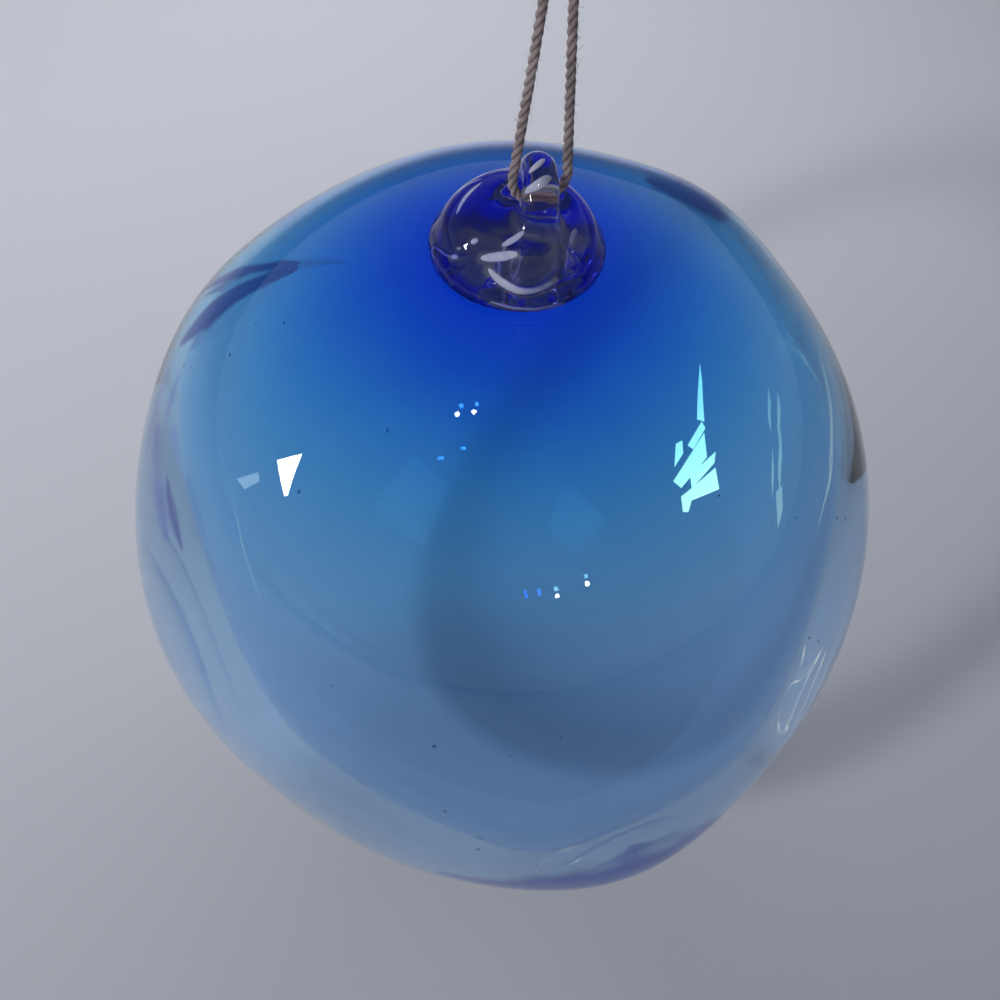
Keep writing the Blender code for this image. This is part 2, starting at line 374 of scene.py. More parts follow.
# %% Scatter loose fibres
def scatter_fibres(tree, given, plies):
    """Short bent fibres that stand off the plies."""
    spots = add_node(tree, "GeometryNodeDistributePointsOnFaces", distribute_method="RANDOM")
    feed_all(tree, spots, Mesh=plies, Density=given["Fibres per square metre"], Seed=given["Seed"])
    bent = add_node(tree, "GeometryNodeCurveQuadraticBezier", 5)
    feed_all(tree, bent, Start=(0.0, 0.0, 0.0), Middle=(0.25, 0.1, 0.45), End=(1.0, 0.0, 0.35))
    length = add_node(tree, "ShaderNodeCombineXYZ", *[given["Fibre length"]] * 3).outputs[0]
    size = feed_all(tree, add_node(tree, "GeometryNodeTransform", bent.outputs["Curve"]), Scale=length)
    thin = add_node(tree, "GeometryNodeCurvePrimitiveCircle", 3)
    feed_all(tree, thin, Radius=given["Fibre radius"])
    hair = add_node(tree, "GeometryNodeCurveToMesh", size.outputs["Geometry"], thin.outputs["Curve"])

    least, most = (-0.3, -0.3, 0.0), (0.3, 0.3, math.tau)
    spin = add_node(tree, "FunctionNodeRandomValue", least, most, data_type="FLOAT_VECTOR")
    feed_all(tree, spin, Seed=given["Seed"])
    turned = add_node(tree, "FunctionNodeRotateRotation", rotation_space="LOCAL")
    feed(tree, turned.inputs[0], spots.outputs["Rotation"])
    feed(tree, turned.inputs[1], spin.outputs["Value"])
    reach = add_node(tree, "FunctionNodeRandomValue", None, None, 0.35, 1.15, data_type="FLOAT")
    feed_all(tree, reach, Seed=given["Seed"])
    fuzz = add_node(tree, "GeometryNodeInstanceOnPoints")
    feed_all(tree, fuzz, Points=spots.outputs["Points"], Instance=hair.outputs["Mesh"])
    return feed_all(tree, fuzz, Rotation=turned.outputs[0], Scale=reach.outputs[1]).outputs["Instances"]


# %% Build the twine's node tree
def twine_tree(material):
    inputs = [
        ("Geometry", "Geometry", None),
        ("Route", "Object", None),
        ("Plies", "Int", 3),
        ("Ply radius", "Float", 0.00027),
        ("Lay radius", "Float", 0.00026),
        ("Turns per metre", "Float", 260.0),
        ("Step", "Float", 0.0002),
        ("Fibres per square metre", "Float", 2.2e6),
        ("Fibre length", "Float", 0.0007),
        ("Fibre radius", "Float", 0.000014),
        ("Roughening", "Float", 0.0001),
        ("Seed", "Int", 3),
    ]
    outputs = [("Geometry", "Geometry")]
    tree, given, end = new_tree("twisted twine", "GeometryNodeTree", inputs, outputs)
    curves, outward = lay_plies(tree, given)
    plies = round_plies(tree, given, curves, outward)
    smooth = join_parts(tree, [scatter_fibres(tree, given, plies), plies])
    dressed = feed_all(tree, add_node(tree, "GeometryNodeSetMaterial", smooth), Material=material)
    feed(tree, end[0], dressed.outputs[0])
    return tree


# %% [markdown]
# ## The twine's material
#
# Natural twine is matt, brown and a little uneven. A coarse noise makes patches and a fine one stands
# for the fibres, the crest attribute paints shade into the grooves, and a soft sheen stands for the fuzz.


# %% Make the twine's material
def twine_material():
    material, tree, shader = new_material("natural_twine")
    place = object_place(tree)
    patches = noise(tree, place, scale=420.0, detail=3.0)
    fibres = noise(tree, place, scale=5200.0)
    crest = add_node(tree, "ShaderNodeAttribute", attribute_name="crest").outputs["Fac"]
    mixed = calculate(tree, "MULTIPLY_ADD", fibres, 0.45, calculate(tree, "MULTIPLY", patches, 0.55))
    # Painted shade: the crest attribute darkens the grooves between the plies and lightens their tops.
    groove_shaded = calculate(tree, "MULTIPLY_ADD", crest, 0.16, mixed)
    stops = ((0.30, (0.095, 0.074, 0.074)), (0.58, (0.320, 0.256, 0.255)), (0.85, (0.56, 0.47, 0.45)))
    feed_all(tree, shader, Base_Color=colour_ramp(tree, groove_shaded, stops, "LINEAR"), Roughness=0.9)
    feed_all(tree, shader, Specular_IOR_Level=0.2, Sheen_Weight=0.25, Sheen_Roughness=0.6)
    relief = feed_all(tree, add_node(tree, "ShaderNodeBump"), Distance=0.00004, Height=fibres)
    feed_all(tree, shader, Normal=relief.outputs[0])
    return material


twine_look = twine_material()
twist = twine_tree(twine_look)

guide = guide_curve("loop_guide", [loop_route])
twine_loop = grow("twine_loop", twist, {"Route": guide, "Seed": 3})
bpy.data.objects.remove(guide, do_unlink=True)
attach(twine_loop, "root")
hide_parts("hanging_twine")

# %% [markdown]
# ## The knot
#
# The two ends of the twine are held together by three tight wraps and then stand up as loose ends.
# The wraps are one short helix and the ends are two short routes, so the same twine tree makes them.

# %% Wrap the knot and leave two ends
KNOT_RADIUS = 0.00165
KNOT_TURNS = 3
KNOT_TURN_HEIGHT = 0.00115
END_ROOT = 0.00065
END_BOW = 0.00085
END_BOW_HEIGHT = 0.0028
END_LENGTH = 0.0085
END_SPREAD = 0.0030
END_ASIDE = 0.0010
WRAP_STEPS = 24
STEPS_LEFT_OPEN = 5

knot_height = KNOT_TURNS * KNOT_TURN_HEIGHT
wrap_radius = KNOT_RADIUS - TWINE_DIAMETER / 2
steps = KNOT_TURNS * WRAP_STEPS - STEPS_LEFT_OPEN
wraps = []
for step in range(steps):
    angle = math.tau * step / WRAP_STEPS
    height = KNOT_TURN_HEIGHT / 2 + (knot_height - KNOT_TURN_HEIGHT) * step / (steps - 1)
    wraps.append(Vector((wrap_radius * math.cos(angle), wrap_radius * math.sin(angle), height)))
knot_routes = [wraps]
for side, foot in ((-1.0, loop_points[0]), (1.0, loop_points[-1])):
    low = Vector((side * END_ROOT, 0.0, knot_height / 2))
    bow = Vector((side * END_BOW, 0.0, knot_height + END_BOW_HEIGHT))
    high = Vector((side * END_SPREAD, side * END_ASIDE, knot_height + END_LENGTH))
    knot_routes.append(smooth_through([foot, low, bow, high], ROUTE_STEP))
guide = guide_curve("knot_guide", knot_routes)
wrapped_knot = grow("wrapped_knot", twist, {"Route": guide, "Seed": 8, "Fibres per square metre": 3.0e6})
bpy.data.objects.remove(guide, do_unlink=True)
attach(wrapped_knot, "root")
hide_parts("cord_knot")

# %% [markdown]
# ## The blown ball
#
# A ball blown by hand is never a true sphere, and its wall is never even. Each low swell or flat of the
# skin is a soft bump about one direction. The wall has thick places of its own, and those decide how
# wide the clear rim looks, since the rim of a hollow ball is exactly as wide as its wall is thick.
# The tree makes the skin from the same numbers as the solid, then a second sphere inside it and tiny
# seed bubbles between the two.

# %% Name the swells and the thick places
# Azimuth and elevation of the middle in degrees, height in metres and spread in degrees.
BALL_SWELLS = {
    "bulge under the front": (-63.0, -23.5, 0.0020, 18.0),
    "flat at lower left": (-122.0, -22.0, -0.0014, 22.0),
    "flat at the right": (-24.0, -4.0, -0.0010, 45.0),
    "swell at the back right": (52.0, 45.0, 0.0013, 13.0),
    "swell at the back": (95.0, 51.0, 0.0006, 20.0),
    "swell at the back left": (164.0, 27.0, 0.0009, 17.0),
}
WALL = 0.0027
WALL_PLACES = {
    "thin at the back": (99.0, 49.0, -0.0016, 48.0),
    "thin at the back right": (30.0, 38.0, -0.0009, 26.0),
    "thick at the left": (-153.0, -7.0, 0.0038, 24.0),
    "thick at lower left": (-110.0, -26.0, 0.0018, 25.0),
    "thick under the front": (-60.0, -23.0, 0.0022, 14.0),
    "thick at the right": (-12.0, 0.0, 0.0012, 20.0),
}


def direction(azimuth, elevation):
    around, up = math.radians(azimuth), math.radians(elevation)
    return Vector((math.cos(up) * math.cos(around), math.cos(up) * math.sin(around), math.sin(up)))


# %% Build the swell group
def low_swell_tree():
    """How much one swell adds in a direction: its height, falling off with the angle from its middle."""
    inputs = [
        ("Towards", "Vector", None),
        ("Middle", "Vector", None),
        ("Height", "Float", 0.0),
        ("Spread", "Float", 0.3),
    ]
    tree, given, end = new_tree("low swell", "GeometryNodeTree", inputs, [("Added", "Float")])
    fall = falloff(tree, angle_between(tree, given["Towards"], given["Middle"]), given["Spread"])
    feed(tree, end[0], calculate(tree, "MULTIPLY", fall, given["Height"]))
    return tree


def with_swells(tree, given, group, towards, start, names):
    """A starting number and what all the named swells add to it."""
    for name in names:
        middle, height, spread = (given[name + part] for part in (" towards", " height", " spread"))
        added = use_group(tree, group, Towards=towards, Middle=middle, Height=height, Spread=spread)
        start = calculate(tree, "ADD", start, added)
    return start


# %% Scatter seed bubbles
def scatter_seeds(tree, given, sheet):
    """Tiny hollow bubbles on a sheet in the middle of the wall, drawn out to different shapes."""
    spots = add_node(tree, "GeometryNodeDistributePointsOnFaces", distribute_method="RANDOM")
    feed_all(tree, spots, Mesh=sheet, Density=given["Seeds"], Seed=given["Seed"])
    bubble = add_node(tree, "GeometryNodeMeshIcoSphere")
    feed_all(tree, bubble, Radius=given["Seed radius"], Subdivisions=3)
    hollow = add_node(tree, "GeometryNodeFlipFaces", bubble.outputs["Mesh"]).outputs[0]
    least, most = (0.35, 0.35, 0.35), (1.0, 1.5, 0.8)
    size = add_node(tree, "FunctionNodeRandomValue", least, most, data_type="FLOAT_VECTOR")
    feed_all(tree, size, Seed=given["Seed"])
    seeds = add_node(tree, "GeometryNodeInstanceOnPoints")
    feed_all(tree, seeds, Points=spots.outputs["Points"], Instance=hollow)
    feed_all(tree, seeds, Rotation=spots.outputs["Rotation"], Scale=size.outputs["Value"])
    return seeds.outputs["Instances"]


# %% Build the ball's node tree
def ball_tree(swell_group, skin, lining):
    inputs = [
        ("Geometry", "Geometry", None),
        ("Radius", "Float", BALL_RADIUS),
        ("Wall", "Float", WALL),
        ("Centre", "Vector", tuple(BALL_CENTRE)),
        ("Detail", "Int", 7),
        ("Ripple", "Float", 0.00010),
        ("Seeds", "Float", 1100.0),
        ("Seed radius", "Float", 0.00024),
        ("Seed", "Int", 5),
    ]
    for name, (azimuth, elevation, height, spread) in {**BALL_SWELLS, **WALL_PLACES}.items():
        inputs.append((name + " towards", "Vector", tuple(direction(azimuth, elevation))))
        inputs.append((name + " height", "Float", height))
        inputs.append((name + " spread", "Float", math.radians(spread)))
    tree, given, end = new_tree("blown ball", "GeometryNodeTree", inputs, [("Geometry", "Geometry")])
    ball = feed_all(tree, add_node(tree, "GeometryNodeMeshIcoSphere", 1.0), Subdivisions=given["Detail"])
    towards = on_vectors(tree, "NORMALIZE", add_node(tree, "GeometryNodeInputPosition").outputs[0])

    def skin_at(reach, name):
        spot = on_vectors(tree, "ADD", given["Centre"], on_vectors(tree, "SCALE", towards, reach))
        moved = add_node(tree, "GeometryNodeSetPosition", label=name)
        return feed_all(tree, moved, Geometry=ball.outputs["Mesh"], Position=spot).outputs["Geometry"]

    outer = with_swells(tree, given, swell_group, towards, given["Radius"], BALL_SWELLS)
    wall = with_swells(tree, given, swell_group, towards, given["Wall"], WALL_PLACES)
    ripple = stray(tree, noise(tree, towards, scale=2.2, detail=1.0), given["Ripple"])
    wall = calculate(tree, "ADD", wall, ripple)
    inner_skin = skin_at(calculate(tree, "SUBTRACT", outer, wall), "lining")
    inner_skin = add_node(tree, "GeometryNodeFlipFaces", inner_skin).outputs[0]
    inner_skin = keep_attribute(tree, inner_skin, "inner", True, "BOOLEAN", "FACE")
    half = calculate(tree, "SUBTRACT", outer, calculate(tree, "MULTIPLY", wall, 0.5))
    seeds = scatter_seeds(tree, given, skin_at(half, "middle of the wall"))

    smooth = join_parts(tree, [seeds, inner_skin, skin_at(outer, "outer skin")])
    clear = feed_all(tree, add_node(tree, "GeometryNodeSetMaterial", smooth), Material=skin)
    inner = add_node(tree, "GeometryNodeInputNamedAttribute", "inner", data_type="BOOLEAN").outputs[0]
    tinted = add_node(tree, "GeometryNodeSetMaterial", clear.outputs[0])
    feed(tree, end[0], feed_all(tree, tinted, Selection=inner, Material=lining).outputs[0])
    return tree


# %% [markdown]
# ## The colours of the glass
#
# The blue was gathered first, so it is deepest round the neck and was blown thin and pale below. A
# shader group works out how deep the dye is from the angle to the neck. A second group masks one
# streak between two directions, with a chosen width and frayed edges; the streaks are partly undiluted
# dye and partly painted reflection of the deep blue neck in the wall. The groups give only a colour or a
# mask. The shader that bends the light stays in the material itself.


# %% Shader group for the dye
def from_centre(tree):
    """The direction in which the shaded point lies from the ball's middle."""
    return on_vectors(tree, "NORMALIZE", on_vectors(tree, "SUBTRACT", object_place(tree), tuple(BALL_CENTRE)))


def dye_group():
    """What is left of white light: exp(-dye), and the dye falls off with the angle from the neck."""
    inputs = [
        ("Pole", "Vector", (0.0, 0.0, 1.0)),
        ("Everywhere", "Vector", (0.8, 0.4, 0.04)),
        ("At the neck", "Vector", (6.0, 3.7, 0.2)),
        ("Reach", "Vector", (50.0, 39.0, 40.0)),
        ("Waver", "Float", 4.0),
    ]
    tree, given, end = new_tree("blue dye", "ShaderNodeTree", inputs, [("Color", "Color")])
    towards = from_centre(tree)
    angle = calculate(tree, "DEGREES", angle_between(tree, towards, given["Pole"]))
    angle = calculate(tree, "ADD", angle, stray(tree, noise(tree, towards, scale=2.1), given["Waver"]))
    labels = ("Everywhere", "At the neck", "Reach")
    parts = [add_node(tree, "ShaderNodeSeparateXYZ", given[label]).outputs for label in labels]
    left = add_node(tree, "ShaderNodeCombineColor")
    for channel in range(3):
        everywhere, at_neck, reach = (part[channel] for part in parts)
        dye = calculate(tree, "MULTIPLY_ADD", falloff(tree, angle, reach), at_neck, everywhere)
        feed(tree, left.inputs[channel], calculate(tree, "EXPONENT", calculate(tree, "MULTIPLY", dye, -1.0)))
    feed(tree, end[0], left.outputs[0])
    return tree


# %% Shader group for a streak
NARROWEST = 0.0006
BELLY_POWER = 0.6


def streak_group():
    """A soft mask round an arc between two directions, widest in its middle and pointed at its ends."""
    inputs = [
        ("Start", "Vector", (1.0, 0.0, 0.0)),
        ("End", "Vector", (0.0, 0.0, 1.0)),
        ("Width", "Float", 0.03),
        ("Softness", "Float", 0.5),
        ("Strength", "Float", 1.0),
        ("Wander", "Float", 0.0),
    ]
    tree, given, end = new_tree("dye and reflection streak", "ShaderNodeTree", inputs, [("Mask", "Float")])
    towards = from_centre(tree)
    run = on_vectors(tree, "SUBTRACT", given["End"], given["Start"])
    along = on_vectors(tree, "DOT_PRODUCT", on_vectors(tree, "SUBTRACT", towards, given["Start"]), run)
    share = calculate(tree, "DIVIDE", along, on_vectors(tree, "DOT_PRODUCT", run, run))
    held = add_node(tree, "ShaderNodeClamp", share).outputs[0]
    chord = on_vectors(tree, "ADD", given["Start"], on_vectors(tree, "SCALE", run, held))
    off = on_vectors(tree, "SUBTRACT", towards, on_vectors(tree, "NORMALIZE", chord))
    near = calculate(tree, "MULTIPLY_ADD", given["Wander"], given["Width"], on_vectors(tree, "LENGTH", off))
    belly = calculate(tree, "MULTIPLY", held, calculate(tree, "SUBTRACT", 1.0, held))
    belly = calculate(tree, "POWER", calculate(tree, "MULTIPLY", belly, 4.0), BELLY_POWER)
    width = calculate(tree, "MAXIMUM", calculate(tree, "MULTIPLY", given["Width"], belly), NARROWEST)
    core = calculate(tree, "MULTIPLY", width, calculate(tree, "SUBTRACT", 1.0, given["Softness"]))
    edge = add_node(tree, "ShaderNodeMapRange", near, core, width, 1.0, 0.0, interpolation_type="SMOOTHSTEP")
    feed(tree, end[0], calculate(tree, "MULTIPLY", edge.outputs[0], given["Strength"]))
    return tree


blue_dye = dye_group()
streak_of_dye_and_reflection = streak_group()
print("one streak takes", len(streak_of_dye_and_reflection.nodes), "nodes")

# %% [markdown]
# ## Clear glass that lets lamps through
#
# Glass is a Principled shader with full transmission. Light from the lamps can't find its way through
# two curved skins on its own, so a Mix Shader swaps in a tinted Transparent shader for shadow rays
# and for light that bounces off the floor. The edges of the ball, where the wall is seen side on, let
# less light through, and a Layer Weight node makes that shadow darker at its rim.


# %% Make a glass material
def glass_material(name, colour_of, shadow, roughness=0.0):
    """Glass whose shadow has one tone face on and another edge on; None stands for the glass's colour."""
    material, tree, shader = new_material(name)
    colour = colour_of(tree)
    feed_all(tree, shader, Base_Color=colour, Metallic=0.0, Roughness=roughness, IOR=1.5)
    feed_all(tree, shader, Transmission_Weight=1.0)
    facing = add_node(tree, "ShaderNodeLayerWeight", 0.5).outputs["Facing"]
    rim = add_node(tree, "ShaderNodeMapRange", facing, 0.30, 0.85, interpolation_type="SMOOTHSTEP").outputs[0]
    face_on, edge_on = shadow
    clear = add_node(tree, "ShaderNodeBsdfTransparent", mix_colour(tree, rim, face_on or colour, edge_on))
    path = tree.nodes.new("ShaderNodeLightPath").outputs
    surface = shader
    for ray in ("Is Diffuse Ray", "Is Shadow Ray"):
        surface = add_node(tree, "ShaderNodeMixShader", path[ray], surface.outputs[0], clear.outputs[0])
    feed_all(tree, tree.nodes["Material Output"], Surface=surface.outputs[0])
    return material


# %% [markdown]
# ## Dyeing the lining and the skin
#
# Both layers of the wall hold dye, deep round the neck and thin below, and light on its way through the
# ball passes both of them twice. The deep blue leans a little to the left of the hanger. Streaks lie in
# the skin: partly nearly undiluted dye where one gather overlapped the next, and partly painted
# reflection of the deep blue neck, which the wall mirrors near its rim. One fine noise frays them all into
# wisps, so that no streak looks painted on.

# %% Dye the lining and streak the skin
NECK = tuple(direction(-165.0, 86.5))
NAVY = (0.012, 0.040, 0.26)
DEEP_BLUE = (0.010, 0.13, 0.80)
VIOLET = (0.09, 0.12, 0.85)
INK = (0.030, 0.060, 0.45)
# The streaks are partly dye and partly painted reflection of the deep blue neck, which the wall mirrors near
# its rim.
# Start, end, half width, softness, strength and colour of each streak.
DYE_STREAKS_AND_REFLECTIONS = {
    "upper left, line": ((-0.838, 0.218, 0.500), (-0.560, 0.045, 0.827), 0.030, 0.7, 1.0, NAVY),
    "upper left, faint": ((-0.600, 0.060, 0.798), (-0.430, -0.010, 0.903), 0.026, 1.0, 0.5, NAVY),
    "upper left, low": ((-0.866, 0.020, 0.500), (-0.650, 0.044, 0.759), 0.056, 0.6, 1.0, NAVY),
    "upper left, high": ((-0.804, 0.061, 0.591), (-0.562, 0.028, 0.826), 0.042, 0.6, 1.0, NAVY),
    "left edge": ((-0.874, -0.003, 0.487), (-0.929, -0.216, 0.301), 0.030, 0.9, 0.7, VIOLET),
    "left patch": ((-0.894, -0.161, 0.418), (-0.814, -0.465, 0.347), 0.085, 1.0, 0.75, VIOLET),
    "left wedge": ((-0.841, -0.319, 0.437), (-0.764, -0.521, 0.380), 0.034, 0.9, 0.9, INK),
    "upper right": ((0.252, 0.418, 0.873), (0.496, 0.392, 0.775), 0.120, 0.8, 1.0, NAVY),
    "upper right tail": ((0.312, 0.555, 0.771), (0.526, 0.490, 0.695), 0.070, 0.7, 1.0, NAVY),
    "top": ((-0.695, 0.370, 0.616), (0.480, 0.480, 0.735), 0.170, 1.0, 0.75, DEEP_BLUE),
    "bottom": ((-0.020, -0.940, -0.330), (0.640, -0.720, -0.260), 0.200, 0.8, 1.0, INK),
    "bottom peak": ((0.400, -0.905, -0.100), (0.384, -0.849, -0.362), 0.110, 1.0, 0.8, INK),
}
# How far the wisps fray a streak's edge, as a share of its half width.
STREAK_WANDER = 1.6


def lining_colour(tree):
    return use_group(
        tree,
        blue_dye,
        Pole=NECK,
        Everywhere=(0.46, 0.22, 0.0),
        At_the_neck=(5.2, 2.75, 0.07),
        Reach=(31.0, 24.0, 34.0),
        Waver=8.0,
    )


def skin_colour(tree):
    colour = use_group(
        tree,
        blue_dye,
        Pole=NECK,
        Everywhere=(0.75, 0.33, 0.0),
        At_the_neck=(3.6, 2.0, 0.10),
        Reach=(36.0, 28.0, 40.0),
        Waver=6.0,
    )
    wisps = noise(tree, object_place(tree), scale=110.0, detail=4.0, Roughness=0.6)
    wander = stray(tree, wisps, STREAK_WANDER)
    # Each streak's colour is mixed into the skin: partly dye, partly painted reflection of the deep blue
    # neck.
    for start, end, width, softness, strength, streak in DYE_STREAKS_AND_REFLECTIONS.values():
        mask = use_group(
            tree,
            streak_of_dye_and_reflection,
            Start=start,
            End=end,
            Width=width,
            Softness=softness,
            Strength=strength,
            Wander=wander,
        )
        colour = mix_colour(tree, mask, colour, streak)
    return colour


# What light from a lamp keeps where it crosses the wall face on, and edge on.
BALL_SHADOW = ((0.975, 0.985, 0.992), (0.22, 0.26, 0.34))
ball_skin = glass_material("clear_blown_skin", skin_colour, BALL_SHADOW)
ball_lining = glass_material("blue_blown_lining", lining_colour, BALL_SHADOW)
blown_ball = grow("blown_ball", ball_tree(low_swell_tree(), ball_skin, ball_lining), {})
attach(blown_ball, "root")
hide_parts("glass_ball")
print(len(DYE_STREAKS_AND_REFLECTIONS), "streaks lie in the skin")

# %% [markdown]
# ## The hanger
#
# The hanger is a second bit of glass, dropped on hot, pulled into a strap and pressed down again. Its
# solid is copied, its corners are welded, and a finer voxel remesh with a little smoothing gives it the
# soft fire-polished look.


# %% Refine the hanger's surface
def refined_copy(name, node, grain, rounds):
    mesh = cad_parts[node].data.copy()
    shape = bmesh.new()
    shape.from_mesh(mesh)
    bmesh.ops.remove_doubles(shape, verts=shape.verts, dist=0.000001)
    shape.to_mesh(mesh)
    shape.free()
    mesh.materials.clear()
    made = bpy.data.objects.new(name, mesh)
    scene.collection.objects.link(made)
    made.matrix_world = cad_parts[node].matrix_world
    remesh = made.modifiers.new("finer grain", "REMESH")
    remesh.mode = "VOXEL"
    remesh.voxel_size = grain
    remesh.use_smooth_shade = True
    polish = made.modifiers.new("fire polish", "SMOOTH")
    polish.factor = 0.5
    polish.iterations = rounds
    bpy.context.view_layer.update()
    result = bpy.data.meshes.new_from_object(made.evaluated_get(bpy.context.evaluated_depsgraph_get()))
    result.transform(made.matrix_world)
    made.modifiers.clear()
    made.data = result
    made.matrix_world = Matrix.Identity(4)
    print(name, "has", len(result.polygons), "faces")
    return made


glass_hanger = refined_copy("glass_hanger", "hanger_knob", grain=0.00022, rounds=6)

# %% [markdown]
# ## Air caught in the hanger
#
# Where a hot bit of glass is folded over, thin films of air stay between the layers. They show as
# small silvery crescents; here that shine is painted highlight, as each film is a pale body laid where
# the hanger glints. Each film is a flat lens laid along a few directions seen from the middle of the
# gather, and it is sunk a little under the skin. Over a film the glass holds no dye, so a number kept on
# each corner of the mesh tells the material where to leave it clear.

# %% Lay the films of air
GATHER_MIDDLE = Vector((0.0, 0.0, -0.0415))
WELL_OUTSIDE = 0.05
FILM_DEPTH = 0.00022
FILM_THICKNESS = 0.00010
FILM_SIDES = 10
FILM_STEP = 0.05
SHORT_FILM_STEPS = 5
# The glass is wholly clear within this share of a film's half width, and fades over the next one.
CLEAR_SHARE = 0.6
FADE_SHARE = 0.3
FADE_AT_LEAST = 0.0001
# Each film sits where the hanger glints, and its pale colour is painted highlight.
# Half width in metres, how clear the glass over it is, then azimuth and elevation of its points.
AIR_FILM_GLINTS = {
    "smile": (0.00055, 1.0, ((-119, 12), (-109, 7), (-95, 4), (-82, 5), (-72, 7))),
    "lens": (0.00052, 1.0, ((-127, 17), (-115, 23), (-103, 29))),
    "streak": (0.00038, 0.8, ((-117, 31), (-110, 38), (-103, 45))),
    "seam": (0.00022, 0.9, ((-111, -7), (-89, -10), (-65, -11))),
    "outer shoulder": (0.00030, 0.6, ((178, 2), (166, 9), (159, 20), (152, 32))),
    "inner shoulder": (0.00032, 0.6, ((-172, 23), (176, 29), (160, 36))),
    "left dot": (0.00030, 0.9, ((-141, 21), (-138, 25))),
    "low left dot": (0.00028, 0.6, ((-148, 5), (-144, 8))),
    "right": (0.00036, 0.8, ((-28, 38), (-37, 35), (-45, 31))),
    "right edge": (0.00024, 0.6, ((19, 21), (8, 12), (-3, 3))),
    "strap high": (0.00036, 0.6, ((-148, 82), (-177, 87.5), (79, 84))),
    "strap low": (0.00052, 0.8, ((-119, 71), (-103, 74), (-83, 77), (-48, 80))),
}


# %% Shape one film
def film_mesh(shape, centres, normals, half_width):
    """A flat lens along the centres: an oval across each one, closed with a point at both ends."""
    rings = []
    for spot, (centre, normal) in enumerate(zip(centres, normals)):
        share = (spot + 0.5) / len(centres)
        swell = math.sqrt(max(0.0, 4.0 * share * (1.0 - share)))
        before, after = centres[max(0, spot - 1)], centres[min(len(centres) - 1, spot + 1)]
        side = (after - before).cross(normal).normalized()
        ring = []
        for step in range(FILM_SIDES):
            angle = math.tau * step / FILM_SIDES
            across = side * math.cos(angle) * half_width * swell
            ring.append(shape.verts.new(centre + across + normal * math.sin(angle) * FILM_THICKNESS * swell))
        rings.append(ring)
    for first, second in zip(rings, rings[1:]):
        for step in range(FILM_SIDES):
            following = (step + 1) % FILM_SIDES
            shape.faces.new((first[step], first[following], second[following], second[step]))
    for ring, inner, outer in ((rings[0], centres[0], centres[1]), (rings[-1], centres[-1], centres[-2])):
        tip = shape.verts.new(inner + (inner - outer) * 0.5)
        for step in range(FILM_SIDES):
            shape.faces.new((ring[step], ring[(step + 1) % FILM_SIDES], tip))


def film_route(skin, angles):
    """Points a little under the skin along a film, with the skin's normals there."""
    bends = [direction(*pair) for pair in angles]
    if len(bends) == 2:
        path = [bends[0].lerp(bends[1], step / SHORT_FILM_STEPS) for step in range(SHORT_FILM_STEPS + 1)]
    else:
        path = smooth_through(bends, FILM_STEP)
    centres, normals = [], []
    for towards in path:
        towards = towards.normalized()
        hit, normal, _, _ = skin.ray_cast(GATHER_MIDDLE + towards * WELL_OUTSIDE, -towards)
        centres.append(hit - normal * (FILM_DEPTH + FILM_THICKNESS))
        normals.append(normal)
    return centres, normals


# %% Lay all the films under the skin
def lay_films(host):
    """Adds the films to the host's mesh and keeps on its corners how clear the glass is."""
    glass = bmesh.new()
    glass.from_mesh(host.data)
    skin = BVHTree.FromBMesh(glass)
    clear = glass.verts.layers.float.new("clear")
    skin_verts = list(glass.verts)
    skin_faces = len(glass.faces)
    films = bmesh.new()
    for half_width, clearness, angles in AIR_FILM_GLINTS.values():
        centres, normals = film_route(skin, angles)
        film_mesh(films, centres, normals, half_width)
        for vert in skin_verts:
            near = min((vert.co - centre).length for centre in centres)
            past = (near - FILM_DEPTH - CLEAR_SHARE * half_width) / (FADE_SHARE * half_width + FADE_AT_LEAST)
            vert[clear] = max(vert[clear], clearness * max(0.0, min(1.0, 1.0 - past)))
    bmesh.ops.recalc_face_normals(films, faces=films.faces)
    for face in films.faces:
        face.material_index = 1
    spare = bpy.data.meshes.new("air_films")
    films.to_mesh(spare)
    films.free()
    glass.from_mesh(spare)
    for face in glass.faces:
        face.smooth = True
    print(len(AIR_FILM_GLINTS), "films add", len(glass.faces) - skin_faces, "faces")
    glass.to_mesh(host.data)
    glass.free()
    bpy.data.meshes.remove(spare)


lay_films(glass_hanger)

# %% [markdown]
# ## The hanger's glass
#
# It is the same cobalt as the neck but solid, so it looks almost navy. The strap was pulled thin, and
# there the glass is pale enough to show the brown twine inside the eye.

# %% Dye the hanger
EYE_HEIGHT = -0.0371
# The colour runs over this height, and the eye's middle lies at this share of it.
COLOUR_SPAN = 0.012
EYE_SHARE = 0.67
SWIRL_HEIGHT = 0.0030


def hanger_colour(tree):
    place = object_place(tree)
    height = add_node(tree, "ShaderNodeSeparateXYZ", place).outputs["Z"]
    swirl = stray(tree, noise(tree, place, scale=220.0, Distortion=1.5), SWIRL_HEIGHT)
    level = calculate(tree, "ADD", calculate(tree, "SUBTRACT", height, EYE_HEIGHT), swirl)
    share = calculate(tree, "MULTIPLY_ADD", level, 1.0 / COLOUR_SPAN, EYE_SHARE)
    stops = (
        (0.00, (0.004, 0.016, 0.44)),
        (0.35, (0.014, 0.042, 0.74)),
        (0.55, (0.080, 0.110, 0.80)),
        (0.68, (0.580, 0.550, 0.78)),
        (0.85, (0.900, 0.860, 0.88)),
    )
    # Over the air films the dye is left out, so their painted highlight shows through the glass.
    clear = add_node(tree, "ShaderNodeAttribute", attribute_name="clear").outputs["Fac"]
    return mix_colour(tree, clear, colour_ramp(tree, share, stops), (0.85, 0.88, 0.97))


